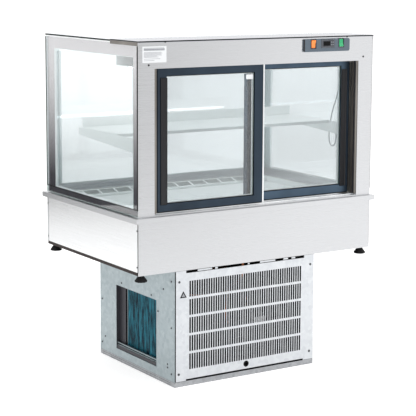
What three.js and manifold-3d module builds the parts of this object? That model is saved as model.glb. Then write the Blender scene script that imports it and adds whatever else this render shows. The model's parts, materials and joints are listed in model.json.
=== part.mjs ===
// A drop-in refrigerated bakery display case: a glass showcase with two sliding service doors, on a
// stainless collar that drops into a counter, with its condensing unit in a galvanised box below.
// Millimetres, +Z up. X runs along the service side, -Y is the service (rear) side with the doors,
// +Y the customer side. The origin is the centre of the whole outline, on the underside of the box.
import * as THREE from "three";
import { mergeVertices } from "three/addons/utils/BufferGeometryUtils.js";
import Module from "manifold-3d";

const wasm = await Module();
wasm.setup();

// ---------------------------------------------------------------- driving dimensions
const WIDTH = 1100; // glass body and collar, along X
const DEPTH = 760; // glass body and collar, along Y
const BOX_HEIGHT = 456; // condensing box, from the floor to the collar
const COLLAR_HEIGHT = 220;
const GLASS_HEIGHT = 656; // collar top to the upper face of the top glass
const FLANGE = 15; // how far the drop-in flange stands out all round
const FLANGE_LIP = 20; // height of the flange's folded edge
const SHEET = 2; // folded stainless sheet, with its hem
const THIN = 1.5; // galvanised sheet
const GAP = 0.3; // clearance between pieces that touch
const PANE = 6; // outer panes and top glass
const INNER_PANE = 4;
const GLAZING = 20; // outer face to inner face of the double glazing

const LEFT = -WIDTH / 2;
const RIGHT = WIDTH / 2;
const REAR = -DEPTH / 2;
const FRONT = DEPTH / 2;
const COLLAR_TOP = BOX_HEIGHT + COLLAR_HEIGHT;
const TOP = COLLAR_TOP + GLASS_HEIGHT;

// Service side: the opening in the stainless rear face, and the doors in it.
const STILE = 71; // rear face left and right of the opening
const OPENING = { x0: LEFT + STILE, x1: RIGHT - STILE, z0: COLLAR_TOP + 5, z1: COLLAR_TOP + 555 };
const DOOR_THICK = 24;
const DOOR_GAP = 16; // opening edge to a closed door
const DOOR_BOTTOM = COLLAR_TOP + 12;
const DOOR_TOP = OPENING.z1 + 6;
const OUTER_DOOR = {
  x0: OPENING.x0 + DOOR_GAP,
  width: 476,
  y: REAR + 5,
  stile: 39,
  topRail: 34,
  bottomRail: 32,
};
const INNER_DOOR = {
  x0: OPENING.x1 - DOOR_GAP - 500,
  width: 500,
  y: REAR + 39,
  stile: 40,
  topRail: 27,
  bottomRail: 35,
};
const JAMB_DEPTH = 66; // rear face to the inner end of tracks and jambs
const GRIP = { width: 29, proud: 4, wall: 3, z0: COLLAR_TOP + 41, z1: COLLAR_TOP + 520 };
const ROLLER_RADIUS = 9;
const ROLLER_INSET = 70; // door edge to roller axle
const RAIL_TOP = COLLAR_TOP + 10; // running face of the track's ribs

// Shelf
const SHELF = { halfLength: 510, y0: -150, y1: 135, z: COLLAR_TOP + 290, upstand: 38, lip: 12 };

// Well under the deck
const WELL = { halfLength: 503, y0: REAR + 67, y1: FRONT - 37, z0: COLLAR_TOP - 184 };
const DECK_TOP = COLLAR_TOP - 25;
const DECK_LIP = 12;

// Condensing box
const BOX = { x0: LEFT + 160, x1: LEFT + 820, y0: REAR + 2, y1: REAR + 597, lip: 20 };
const INTAKE = { y0: REAR + 139, y1: REAR + 460, z0: 52, z1: 318 };
const SLOT = {
  columns: 49,
  rows: 5,
  width: 5.6,
  height: 62,
  pitchX: 10.9,
  pitchZ: 71.6,
  firstX: LEFT + 230,
  topZ: 413,
};
const CABLE_HOLE = { x: LEFT + 492, z: 47, radius: 12.5 };
const FAN = { x: -262, y: -116, z: 225, radius: 108 };

// ---------------------------------------------------------------- finishes
const finish = (color, roughness, metalness) =>
  new THREE.MeshStandardMaterial({ color, roughness, metalness });
const STAINLESS = finish(0xd4d6d6, 0.35, 0.9);
const GALVANISED = finish(0xb4bdc1, 0.5, 0.8);
const ANODISED_SLATE = finish(0x42505f, 0.45, 0.6);
const ANODISED_BRONZE = finish(0x98938a, 0.45, 0.6);
const ALUMINIUM = finish(0xdfe1e2, 0.4, 0.8);
const GLASS = finish(0xd5e0e4, 0.05, 0);
const BLACK_PLASTIC = finish(0x2a292e, 0.5, 0);
const RUBBER = finish(0x0c0c0c, 0.8, 0);
const FOAM = finish(0xe8dfa8, 0.9, 0);
const COATED_FINS = finish(0x1f4f6b, 0.45, 0.5);
const BLACK_STEEL = finish(0x1d1e21, 0.5, 0.3);
const COPPER = finish(0xb87348, 0.35, 0.9);
const DIFFUSER = finish(0xf4f6f4, 0.6, 0);
const SLATE_PLASTIC = finish(0x4a5763, 0.5, 0);
const DISPLAY_PLASTIC = finish(0x4b4d55, 0.3, 0);
const ORANGE = finish(0xf08a3c, 0.35, 0);
const GREEN = finish(0x2fb07a, 0.35, 0);
const WHITE_PVC = finish(0xe6e6e2, 0.6, 0);

// ---------------------------------------------------------------- helpers
const showcase = new THREE.Group();

function add(name, geometry, material) {
  const mesh = new THREE.Mesh(geometry, material);
  mesh.name = name;
  showcase.add(mesh);
  return mesh;
}

// A box between two corners.
function box(x0, x1, y0, y1, z0, z1) {
  const geometry = new THREE.BoxGeometry(x1 - x0, y1 - y0, z1 - z0);
  return geometry.translate((x0 + x1) / 2, (y0 + y1) / 2, (z0 + z1) / 2);
}

// A rod along an axis ("x", "y" or "z") centred on a point.
function rod(axis, radius, length, x, y, z, sides = 24) {
  const geometry = new THREE.CylinderGeometry(radius, radius, length, sides);
  if (axis === "x") geometry.rotateZ(Math.PI / 2);
  if (axis === "z") geometry.rotateX(Math.PI / 2);
  return geometry.translate(x, y, z);
}

// An outline of [a, b] corners.
const outline = (corners) => new THREE.Shape(corners.map(([a, b]) => new THREE.Vector2(a, b)));

// A rectangle with round corners.
function roundedRectangle(a0, a1, b0, b1, radius) {
  const shape = new THREE.Shape();
  shape.moveTo(a0 + radius, b0);
  shape.lineTo(a1 - radius, b0);
  shape.absarc(a1 - radius, b0 + radius, radius, -Math.PI / 2, 0);
  shape.absarc(a1 - radius, b1 - radius, radius, 0, Math.PI / 2);
  shape.absarc(a0 + radius, b1 - radius, radius, Math.PI / 2, Math.PI);
  shape.absarc(a0 + radius, b0 + radius, radius, Math.PI, Math.PI * 1.5);
  return shape;
}

const thicken = (shape, depth) =>
  new THREE.ExtrudeGeometry(shape, { depth, bevelEnabled: false, curveSegments: 6 });

// A shape drawn in X, Z and given a thickness towards +Y, from y.
function plateXZ(shape, y, thickness) {
  return thicken(shape, thickness).rotateX(Math.PI / 2).translate(0, y + thickness, 0);
}

// A shape drawn in Y, Z and run along X, between two ends.
function runX(shape, x0, x1) {
  const yzToRun = new THREE.Matrix4().set(0, 0, 1, x0, 1, 0, 0, 0, 0, 1, 0, 0, 0, 0, 0, 1);
  return thicken(shape, x1 - x0).applyMatrix4(yzToRun);
}

// A shape drawn in X, Y and run up Z, between two levels.
const runZ = (shape, z0, z1) => thicken(shape, z1 - z0).translate(0, 0, z0);

function toSolid(geometry) {
  const bare = geometry.clone();
  bare.deleteAttribute("normal");
  bare.deleteAttribute("uv");
  const merged = mergeVertices(bare, 1e-4);
  return new wasm.Manifold(
    new wasm.Mesh({
      numProp: 3,
      vertProperties: new Float32Array(merged.attributes.position.array),
      triVerts: new Uint32Array(merged.index.array),
    }),
  );
}

function toGeometry(solid) {
  const mesh = solid.getMesh();
  const geometry = new THREE.BufferGeometry();
  geometry.setAttribute("position", new THREE.BufferAttribute(new Float32Array(mesh.vertProperties), 3));
  geometry.setIndex(new THREE.BufferAttribute(new Uint32Array(mesh.triVerts), 1));
  geometry.computeVertexNormals();
  return geometry;
}

const union = (geometries) => geometries.map(toSolid).reduce((solid, next) => solid.add(next));
const join = (...geometries) => toGeometry(union(geometries));
const cut = (geometry, ...tools) => toGeometry(toSolid(geometry).subtract(union(tools)));

// ---------------------------------------------------------------- collar and well
// The stainless flange: a ring on the counter with its edge folded down, and an upstand inside the
// glass on three sides.
function dropInFlange() {
  const outer = { x: RIGHT + FLANGE, y: FRONT + FLANGE };
  const upstandX = RIGHT - GLAZING - SHEET;
  const upstandY = FRONT - GLAZING - SHEET;
  const upstandTop = COLLAR_TOP + 28;
  const doorSide = REAR + 72;
  const ring = cut(
    box(-outer.x, outer.x, -outer.y, outer.y, COLLAR_TOP - FLANGE_LIP, COLLAR_TOP),
    box(-outer.x + SHEET, outer.x - SHEET, -outer.y + SHEET, outer.y - SHEET, 0, COLLAR_TOP - SHEET),
    box(-WELL.halfLength, WELL.halfLength, WELL.y0, WELL.y1, 0, TOP),
  );
  const upstand = cut(
    box(-upstandX, upstandX, doorSide, upstandY, COLLAR_TOP - 1, upstandTop),
    box(-upstandX + SHEET, upstandX - SHEET, doorSide - 1, upstandY - SHEET, 0, TOP),
  );
  add("drop_in_flange", join(ring, upstand), STAINLESS);
}

// Side panels stop above the tray's riveted lip; the front one folds round both corners.
function collarPanels() {
  const top = COLLAR_TOP - SHEET - GAP;
  const sideBottom = BOX_HEIGHT + 13;
  const fold = 14;
  const ends = [REAR + SHEET + GAP, FRONT - fold - GAP];
  add("collar_panel_left", box(LEFT, LEFT + SHEET, ...ends, sideBottom, top), STAINLESS);
  add("collar_panel_right", box(RIGHT - SHEET, RIGHT, ...ends, sideBottom, top), STAINLESS);
  add("collar_panel_rear", box(LEFT, RIGHT, REAR, REAR + SHEET, BOX_HEIGHT, top), STAINLESS);
  const front = cut(
    box(LEFT, RIGHT, FRONT - fold, FRONT, sideBottom, top),
    box(LEFT + SHEET, RIGHT - SHEET, FRONT - fold - 1, FRONT - SHEET, 0, TOP),
  );
  add("collar_panel_front", front, STAINLESS);
}

const FOOT_INSET = 26; // collar corner to foot centre, both ways
const FOOT_PLACES = {
  foot_rear_left: [LEFT + FOOT_INSET, REAR + FOOT_INSET],
  foot_rear_right: [RIGHT - FOOT_INSET, REAR + FOOT_INSET],
  foot_front_left: [LEFT + FOOT_INSET, FRONT - FOOT_INSET],
  foot_front_right: [RIGHT - FOOT_INSET, FRONT - FOOT_INSET],
};
const STUD_RADIUS = 4;
const PIPE_PASS = { x0: -60, x1: 40, y0: -300, y1: -225 }; // where the pipes leave the well

const pipePass = (z0, z1) => box(PIPE_PASS.x0, PIPE_PASS.x1, PIPE_PASS.y0, PIPE_PASS.y1, z0, z1);

// The tray that closes the collar from below, with a lip up each side, mitred at the door end.
function collarBaseTray() {
  const bottom = BOX_HEIGHT;
  const lipTop = bottom + 13 - GAP;
  const inset = 1;
  const lip = outline([
    [REAR + SHEET + 2, bottom],
    [FRONT - SHEET - GAP, bottom],
    [FRONT - SHEET - GAP, lipTop],
    [REAR + SHEET + 14, lipTop],
  ]);
  const floorY = [REAR + SHEET + GAP, FRONT - SHEET - GAP];
  const tray = join(
    box(LEFT + inset, RIGHT - inset, ...floorY, bottom, bottom + SHEET),
    runX(lip, LEFT + inset, LEFT + inset + SHEET),
    runX(lip, RIGHT - inset - SHEET, RIGHT - inset),
  );
  const studHoles = Object.values(FOOT_PLACES).map(([x, y]) =>
    rod("z", STUD_RADIUS + 0.5, 20, x, y, bottom, 12),
  );
  add("collar_base_tray", cut(tray, ...studHoles, pipePass(bottom - 5, bottom + 5)), STAINLESS);
}

// A rubber foot on a threaded stud: a wide round base that narrows to its neck.
function foot(name, x, y) {
  const neck = BOX_HEIGHT - GAP;
  const profile = [
    [0, neck - 27],
    [22, neck - 27],
    [24, neck - 25],
    [24, neck - 22],
    [16, neck - 11],
    [10, neck - 3],
    [9, neck],
    [STUD_RADIUS, neck],
    [STUD_RADIUS, neck + 16],
    [0, neck + 16],
  ];
  const lathe = new THREE.LatheGeometry(profile.map(([r, h]) => new THREE.Vector2(r, h)), 24);
  add(name, lathe.rotateX(Math.PI / 2).translate(x, y, 0), RUBBER);
}

// Foam round the well, and the stainless well itself with a ledge that carries the deck.
function well() {
  const { halfLength, y0, y1, z0 } = WELL;
  const foamTop = COLLAR_TOP - SHEET - GAP;
  const foam = cut(
    box(LEFT + 10, RIGHT - 10, REAR + 10, FRONT - 10, BOX_HEIGHT + 18, foamTop),
    box(-halfLength - GAP, halfLength + GAP, y0 - GAP, y1 + GAP, z0 - GAP, TOP),
    pipePass(0, z0),
  );
  add("well_insulation", foam, FOAM);

  const ledgeTop = DECK_TOP - DECK_LIP - GAP;
  const ledge = 14;
  const liner = cut(
    box(-halfLength + GAP, halfLength - GAP, y0 + GAP, y1 - GAP, z0, COLLAR_TOP - SHEET - GAP),
    box(-halfLength + ledge, halfLength - ledge, y0 + ledge, y1 - ledge, z0 + SHEET, TOP),
    box(-halfLength + SHEET, halfLength - SHEET, y0 + SHEET, y1 - SHEET, ledgeTop, TOP),
    box(-halfLength + SHEET, halfLength - SHEET, y0 + SHEET, y1 - SHEET, z0 + SHEET, ledgeTop - SHEET),
    rod("z", 9, 20, 0, -262, z0, 16),
  );
  add("well_liner", liner, STAINLESS);
}

// Two folded deck plates that meet in the middle.
function deckPlates() {
  const edge = WELL.halfLength - SHEET - 1;
  const rear = WELL.y0 + SHEET + 1;
  const front = 284;
  const plate = (name, x0, x1) => {
    const folded = cut(
      box(x0, x1, rear, front, DECK_TOP - DECK_LIP, DECK_TOP),
      box(x0 + THIN, x1 - THIN, rear + THIN, front - THIN, 0, DECK_TOP - THIN),
    );
    add(name, folded, STAINLESS);
  };
  plate("deck_plate_left", -edge, -0.5);
  plate("deck_plate_right", 0.5, edge);
}

// The sloping grille in front of the deck, with a row of wide slots for the cold air.
function frontAirGrille() {
  const slots = 13;
  const pitch = 75;
  const slope = THREE.MathUtils.degToRad(15);
  const width = 52;
  const half = WELL.halfLength - SHEET - 1;
  const openings = [];
  for (let i = 0; i < slots; i++) {
    const x = (i - (slots - 1) / 2) * pitch;
    openings.push(box(x - pitch / 2 + 4, x + pitch / 2 - 4, 5, width - 5, -1, THIN + 1));
  }
  const grille = cut(box(-half, half, 0, width, 0, THIN), ...openings);
  grille.rotateX(slope).translate(0, 287, COLLAR_TOP - 17);
  const skirt = box(-half, half, 286.6, 288, DECK_TOP - DECK_LIP, COLLAR_TOP - 16);
  add("front_air_grille", join(grille, skirt), STAINLESS);
}

// The finned evaporator with its fan plate, and the fan's rotor.
const EVAPORATOR = { x0: -330, x1: 130, y0: -290, y1: -210, z0: WELL.z0 + 20, z1: WELL.z0 + 122 };
const EVAPORATOR_FAN = { x: -200, y: -176, z: WELL.z0 + 72, radius: 46 };

function evaporator() {
  const { x0, x1, y0, y1, z0, z1 } = EVAPORATOR;
  const finBlock = box(x0 + 4, x1 - 4, y0, y1, z0 + 4, z1 - 4);
  const ends = [box(x0, x0 + 4, y0 - 6, y1 + 6, z0, z1), box(x1 - 4, x1, y0 - 6, y1 + 6, z0, z1)];
  const fanPlate = box(x0, x1, y1 + 6, y1 + 8, z0, z1);
  const { x, y, z, radius } = EVAPORATOR_FAN;
  const collar = rod("y", radius + 5, y + 10 - (y1 + 7), x, (y + 10 + y1 + 7) / 2, z, 32);
  const bore = rod("y", radius + 3, 60, x, y1 + 37, z, 32);
  add("evaporator_coil", cut(join(finBlock, ...ends, fanPlate, collar), bore), ALUMINIUM);
  add("evaporator_fan", axialFan(radius, 14, 18, 4).rotateZ(Math.PI / 2).translate(x, y, z), BLACK_PLASTIC);
}

// An axial fan rotor about X: a hub and twisted blades sunk into it.
function axialFan(radius, hubRadius, length, blades) {
  const hub = rod("x", hubRadius, length, 0, 0, 0, 20);
  const parts = [];
  for (let i = 0; i < blades; i++) {
    const blade = new THREE.BoxGeometry(2, radius * 0.72, radius - hubRadius + 3, 1, 1, 1);
    blade.rotateZ(THREE.MathUtils.degToRad(28)).translate(0, 0, (radius + hubRadius - 3) / 2);
    blade.rotateX((i * 2 * Math.PI) / blades);
    parts.push(blade);
  }
  const disc = toSolid(rod("x", radius, length * 3, 0, 0, 0, 32));
  return toGeometry(union([hub, ...parts]).intersect(disc));
}

// ---------------------------------------------------------------- glass body
function glassBody() {
  const bottom = COLLAR_TOP + 3;
  const top = TOP - PANE - GAP;
  const sideRear = REAR + SHEET + GAP;
  const innerRear = REAR + JAMB_DEPTH;
  const outerX = RIGHT - PANE;
  const innerX = RIGHT - GLAZING;
  add("left_outer_pane", box(LEFT, -outerX, sideRear, FRONT - PANE - GAP, bottom, top), GLASS);
  add("right_outer_pane", box(outerX, RIGHT, sideRear, FRONT - PANE - GAP, bottom, top), GLASS);
  add("front_outer_pane", box(LEFT, RIGHT, FRONT - PANE, FRONT, bottom, top), GLASS);
  const innerFront = FRONT - GLAZING;
  const innerY = [innerRear, innerFront + INNER_PANE];
  const innerPane = (name, x0, x1, y) => add(name, box(x0, x1, ...y, bottom, top), GLASS);
  innerPane("left_inner_pane", -innerX - INNER_PANE, -innerX, innerY);
  innerPane("right_inner_pane", innerX, innerX + INNER_PANE, innerY);
  innerPane("front_inner_pane", -innerX + GAP, innerX - GAP, [innerFront, innerFront + INNER_PANE]);
  add("top_glass", box(LEFT, RIGHT, HEADER_FRONT + 1, FRONT, TOP - PANE, TOP), GLASS);
}

// ---------------------------------------------------------------- rear frame and header
const HEADER_FRONT = REAR + 207;
const CONTROL = { x0: LEFT + 748, x1: LEFT + 979, z0: COLLAR_TOP + 597, z1: COLLAR_TOP + 648 };
const ROCKER = { width: 21, height: 31, orangeX: LEFT + 798, greenX: LEFT + 936, z: COLLAR_TOP + 629 };
const DISPLAY = { x0: LEFT + 836, x1: LEFT + 902, z0: COLLAR_TOP + 612, z1: COLLAR_TOP + 645 };

function rearFrame() {
  const { x0, x1, z0, z1 } = OPENING;
  const plate = cut(
    box(LEFT, RIGHT, REAR, REAR + SHEET, COLLAR_TOP + GAP, TOP - 3),
    box(x0, x1, REAR - 1, REAR + SHEET + 1, z0, z1),
    box(CONTROL.x0 + 8, CONTROL.x1 - 8, REAR - 1, REAR + SHEET + 1, CONTROL.z0 + 8, CONTROL.z1 - 1),
  );
  const back = REAR + 62;
  const foldsIn = [
    box(x0 - THIN - GAP, x0 - GAP, REAR + 1, back, COLLAR_TOP + 1, z1 + 30),
    box(x1 + GAP, x1 + THIN + GAP, REAR + 1, back, COLLAR_TOP + 1, z1 + 30),
  ];
  const edge = RIGHT - PANE - GAP;
  const foldsOut = [
    box(-edge, -edge + THIN, REAR + 1, REAR + 40, COLLAR_TOP + 1, TOP - 4),
    box(edge - THIN, edge, REAR + 1, REAR + 40, COLLAR_TOP + 1, TOP - 4),
  ];
  add("rear_frame", join(plate, ...foldsIn, ...foldsOut), STAINLESS);
}

// The cap over the header, folded down over the side glass and the rear face, and the tray under it.
function header() {
  const top = TOP + 2;
  const flank = 1.5;
  const overlap = 18;
  const side = RIGHT + GAP + flank;
  const lip = REAR - GAP - flank;
  const cap = cut(
    box(-side, side, lip, HEADER_FRONT, top - overlap, top),
    box(-side + flank, side - flank, lip + flank, HEADER_FRONT + 1, 0, top - flank),
    box(-side - 1, side + 1, lip - 1, REAR - GAP / 2, 0, top - 6),
  );
  add("header_cover", cap, STAINLESS);
  const trayBottom = OPENING.z1 + 3;
  const half = RIGHT - GLAZING - 3;
  const floor = box(-half, half, REAR + 68, HEADER_FRONT - 2, trayBottom, trayBottom + SHEET);
  const upstand = box(-half, half, HEADER_FRONT - 4, HEADER_FRONT - 2, trayBottom, TOP - PANE - 1);
  add("header_tray", join(floor, upstand), STAINLESS);
  const led = roundedRectangle(HEADER_FRONT - 40, HEADER_FRONT - 16, trayBottom - 12, trayBottom - GAP, 4);
  add("header_led_bar", runX(led, -480, 480), DIFFUSER);
}

// Slate fascia with its two rocker switches and the temperature display.
function controls() {
  const thickness = 4;
  const shape = roundedRectangle(CONTROL.x0, CONTROL.x1, CONTROL.z0, CONTROL.z1, 8);
  const plate = plateXZ(shape, REAR - thickness, thickness - GAP);
  const halfW = ROCKER.width / 2 + 0.7;
  const halfH = ROCKER.height / 2 + 2.2;
  const wells = [ROCKER.orangeX, ROCKER.greenX].map((x) =>
    box(x - halfW, x + halfW, REAR - 5, REAR + 1, ROCKER.z - halfH, ROCKER.z + halfH),
  );
  const { x0, x1, z0, z1 } = DISPLAY;
  const displayHole = box(x0 - GAP, x1 + GAP, REAR - 5, REAR + 1, z0 - GAP, z1 + GAP);
  add("control_fascia", cut(plate, ...wells, displayHole), SLATE_PLASTIC);

  const bezel = box(x0, x1, REAR - 5, REAR - 1, z0, z1);
  const window = box(x0 + 5, x1 - 5, REAR - 6, REAR - 4, z0 + 5, z1 - 5);
  const body = box(x0 + 2, x1 - 2, REAR - 2, REAR + 45, z0 + 2, z1 - 6);
  add("controller_display", cut(join(bezel, body), window), DISPLAY_PLASTIC);

  add("light_switch_rocker", rockerGeometry(ROCKER.orangeX, ROCKER_TILT), ORANGE);
  add("power_switch_rocker", rockerGeometry(ROCKER.greenX, -ROCKER_TILT), GREEN);
}

// A rocker with two flat halves, tilted about a pin behind its middle.
const ROCKER_TILT = THREE.MathUtils.degToRad(8);
const ROCKER_PIN_DEPTH = 6; // pin behind the rear face's outer plane

function rockerGeometry(x, tilt) {
  const halfH = ROCKER.height / 2;
  const rise = Math.tan(ROCKER_TILT) * halfH;
  const front = -ROCKER_PIN_DEPTH - 5;
  const side = outline([
    [front + rise, 0],
    [front, -halfH],
    [front + 4.5, -halfH],
    [0, -7],
    [6, -4],
    [6, 4],
    [0, 7],
    [front + 4.5, halfH],
    [front, halfH],
  ]);
  const half = ROCKER.width / 2;
  return runX(side, -half, half).rotateX(tilt).translate(x, REAR + ROCKER_PIN_DEPTH, ROCKER.z);
}

// ---------------------------------------------------------------- doors, tracks and jambs
const ribOf = (door) => door.y + DOOR_THICK / 2;

function tracks() {
  const y0 = REAR + SHEET + GAP;
  const y1 = REAR + JAMB_DEPTH;
  const floor = RAIL_TOP - 4;
  const rib = 1.5;
  const outer = ribOf(OUTER_DOOR);
  const inner = ribOf(INNER_DOOR);
  const bottom = outline([
    [y0, COLLAR_TOP + GAP],
    [y1, COLLAR_TOP + GAP],
    [y1, floor],
    [inner + rib, floor],
    [inner + rib, RAIL_TOP],
    [inner - rib, RAIL_TOP],
    [inner - rib, floor],
    [outer + rib, floor],
    [outer + rib, RAIL_TOP],
    [outer - rib, RAIL_TOP],
    [outer - rib, floor],
    [y0, floor],
  ]);
  const half = OPENING.x1 - GAP;
  add("bottom_track", runX(bottom, -half, half), ALUMINIUM);

  const low = OPENING.z1 + 2;
  const roof = DOOR_TOP + 9;
  const middle = (OUTER_DOOR.y + DOOR_THICK + INNER_DOOR.y) / 2;
  const top = outline([
    [y0, low],
    [y0 + 1.5, low],
    [y0 + 1.5, roof],
    [middle - 2, roof],
    [middle - 2, low],
    [middle + 2, low],
    [middle + 2, roof],
    [y1 - 1.5, roof],
    [y1 - 1.5, low],
    [y1, low],
    [y1, roof + 2],
    [y0, roof + 2],
  ]);
  add("top_track", runX(top, -half, half), ALUMINIUM);
}

// The jamb profile: a flat back with a front fin, a middle fin between the doors and a rear fin.
function jamb(name, side) {
  const back = side * (OPENING.x1 - GAP);
  const face = back - side * 3;
  const tip = face - side * 6.5;
  const y0 = REAR + SHEET + GAP;
  const y1 = REAR + JAMB_DEPTH;
  const corners = [
    [back, y0],
    [back, y1],
    [tip, y1],
    [tip, y1 - 2],
    [face, y1 - 2],
    [face, y0 + 27],
    [tip, y0 + 27],
    [tip, y0 + 24],
    [face, y0 + 24],
    [face, y0 + 2],
    [tip, y0 + 2],
    [tip, y0],
  ];
  const shape = outline(side > 0 ? corners : corners.reverse());
  add(name, runZ(shape, RAIL_TOP + GAP, OPENING.z1 + 2 - GAP), ANODISED_BRONZE);
}

const doorRollersX = (door) => [door.x0 + ROLLER_INSET, door.x0 + door.width - ROLLER_INSET];

// One sliding door: anodised frame, glazing unit, full-height grip and two rollers in its bottom rail.
function door(prefix, spec, gripX0) {
  const { x0, width, y, stile, topRail, bottomRail } = spec;
  const glass = {
    x0: x0 + stile,
    x1: x0 + width - stile,
    z0: DOOR_BOTTOM + bottomRail,
    z1: DOOR_TOP - topRail,
  };
  const window = box(glass.x0, glass.x1, y - 1, y + DOOR_THICK + 1, glass.z0, glass.z1);
  const axle = RAIL_TOP + GAP + ROLLER_RADIUS;
  const rib = ribOf(spec);
  const pockets = doorRollersX(spec).map((x) =>
    box(x - ROLLER_RADIUS - 2, x + ROLLER_RADIUS + 2, rib - 4, rib + 4, 0, axle + ROLLER_RADIUS + 2),
  );
  const blank = box(x0, x0 + width, y, y + DOOR_THICK, DOOR_BOTTOM, DOOR_TOP);
  add(`${prefix}_frame`, cut(blank, window, ...pockets), ANODISED_SLATE);
  const unit = box(
    glass.x0 + GAP,
    glass.x1 - GAP,
    y + 5,
    y + DOOR_THICK - 5,
    glass.z0 + GAP,
    glass.z1 - GAP,
  );
  add(`${prefix}_glass`, unit, GLASS);

  const gripX1 = gripX0 + GRIP.width;
  const channel = outline([
    [gripX0, y - GAP],
    [gripX0, y - GRIP.proud],
    [gripX0 + GRIP.wall, y - GRIP.proud],
    [gripX0 + GRIP.wall + 2, y - 1.5],
    [gripX1 - GRIP.wall - 2, y - 1.5],
    [gripX1 - GRIP.wall, y - GRIP.proud],
    [gripX1, y - GRIP.proud],
    [gripX1, y - GAP],
  ]);
  add(`${prefix}_grip`, runZ(channel, GRIP.z0, GRIP.z1), BLACK_PLASTIC);

  doorRollersX(spec).forEach((x, i) => {
    const tread = rod("y", ROLLER_RADIUS, 5, x, rib, axle);
    const hub = rod("y", 3.5, 7.4, x, rib, axle, 12);
    add(`${prefix}_roller_${"ab"[i]}`, join(tread, hub), WHITE_PVC);
  });
}

// ---------------------------------------------------------------- shelf
function shelf() {
  const { halfLength, y0, y1, z, upstand, lip } = SHELF;
  const section = outline([
    [y0, z - lip],
    [y0 + SHEET, z - lip],
    [y0 + SHEET, z - SHEET],
    [y1, z - SHEET],
    [y1, z + upstand],
    [y1 - SHEET, z + upstand],
    [y1 - SHEET, z],
    [y0, z],
  ]);
  add("shelf_plate", runX(section, -halfLength, halfLength), STAINLESS);
  const led = roundedRectangle(y1 - 30, y1 - 6, z - SHEET - 12, z - SHEET - GAP, 4);
  add("shelf_led_bar", runX(led, -470, 470), DIFFUSER);
  shelfBracket("shelf_bracket_left", -1);
  shelfBracket("shelf_bracket_right", 1);
}

// A tapering arm from the rear post, with a flange under the shelf.
function shelfBracket(name, side) {
  const rear = REAR + 68;
  const top = SHELF.z - SHEET - GAP;
  const armDepth = 58;
  const tip = { y: 162, depth: 29 };
  const arm = outline([[rear, top - armDepth], [tip.y, top - tip.depth], [tip.y, top], [rear, top]]);
  const flangeReach = 16;
  const outerFace = SHELF.halfLength + 3;
  const span = (near, far) => (side > 0 ? [near, far] : [-far, -near]);
  const flangeY = [SHELF.y0 + SHEET + GAP, SHELF.y1 - 40];
  const plate = runX(arm, ...span(outerFace - SHEET, outerFace));
  const flange = box(...span(outerFace - flangeReach, outerFace - 1), ...flangeY, top - SHEET, top);
  const post = box(...span(outerFace - 1, RIGHT - GLAZING - 3), rear, rear + SHEET, top - armDepth, top);
  add(name, join(plate, flange, post), STAINLESS);
}

// The lighting lead: down from the header, past the shelf's end, round a loop below it and back up to
// the arm.
function lightingLead() {
  const x = SHELF.halfLength + 11;
  const route = [
    [-196, OPENING.z1 - 8],
    [-205, COLLAR_TOP + 500],
    [-200, COLLAR_TOP + 440],
    [-186, COLLAR_TOP + 388],
    [-160, COLLAR_TOP + 330],
    [-148, COLLAR_TOP + 286],
    [-140, COLLAR_TOP + 245],
    [-139, COLLAR_TOP + 214],
    [-146, COLLAR_TOP + 190],
    [-162, COLLAR_TOP + 180],
    [-178, COLLAR_TOP + 190],
    [-186, COLLAR_TOP + 214],
    [-187, COLLAR_TOP + 240],
  ];
  const path = new THREE.CatmullRomCurve3(route.map(([y, z]) => new THREE.Vector3(x, y, z)));
  const section = new THREE.Shape();
  section.absarc(0, 0, 2.5, 0, Math.PI * 2);
  const lead = new THREE.ExtrudeGeometry(section, { steps: 42, curveSegments: 4, extrudePath: path });
  add("lighting_lead", lead, BLACK_PLASTIC);
}

// ---------------------------------------------------------------- condensing box
function boxBaseTray() {
  const { x0, x1, y0, y1, lip } = BOX;
  const tray = cut(box(x0, x1, y0, y1, 0, lip), box(x0 + THIN, x1 - THIN, y0 + THIN, y1 - THIN, THIN, TOP));
  add("box_base_tray", tray, GALVANISED);
}

function boxPanels() {
  const { x0, x1, y0, y1, lip } = BOX;
  const z0 = lip + GAP;
  const z1 = BOX_HEIGHT - GAP;
  const behindGrille = y0 + THIN + GAP;
  const returnWidth = 30;
  const left = cut(
    join(
      box(x0, x0 + THIN, y0, y1, z0, z1),
      box(x0, x0 + returnWidth, behindGrille, behindGrille + THIN, z0, z1),
    ),
    box(x0 - 1, x0 + THIN + 1, INTAKE.y0, INTAKE.y1, INTAKE.z0, INTAKE.z1),
  );
  add("box_left_panel", left, GALVANISED);
  const wrap = join(
    box(x1 - THIN, x1, behindGrille, y1, z0, z1),
    box(x1 - returnWidth, x1, behindGrille, behindGrille + THIN, z0, z1),
    box(x0 + THIN + GAP, x1, y1 - THIN, y1, z0, z1),
  );
  add("box_wrap_panel", wrap, GALVANISED);
}

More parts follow.
